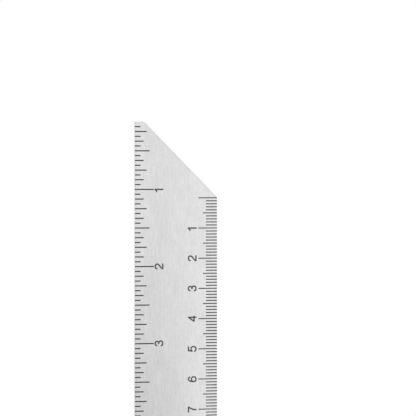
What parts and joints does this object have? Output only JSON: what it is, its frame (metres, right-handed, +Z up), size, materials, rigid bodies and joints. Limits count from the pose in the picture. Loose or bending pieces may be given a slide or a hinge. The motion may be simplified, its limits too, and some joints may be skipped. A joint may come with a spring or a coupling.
{
  "type": "angle square",
  "caption": "Graduated steel blade with a 45 degree end, set at a right angle in a plain aluminium stock, for marking and checking square and mitre lines.",
  "frame": {"origin": "centre of the stock's outer face, the face that the square stands on, below the middle of its box", "axes": "+Z up the blade to its angled end, +X along the stock from the heel to the toe, -Y out of the graduated face"},
  "size_m": [0.15, 0.015, 0.3019],
  "materials": {
    "blade_steel": "brushed lengthwise, with dark filled graduations",
    "stock_aluminium": "satin",
    "rivet_steel": "ground flush"
  },
  "bodies": {
    "root": {"blade": "blade_steel", "stock": "stock_aluminium", "rivet_1": "rivet_steel", "rivet_2": "rivet_steel", "rivet_3": "rivet_steel"}
  },
  "joints": []
}
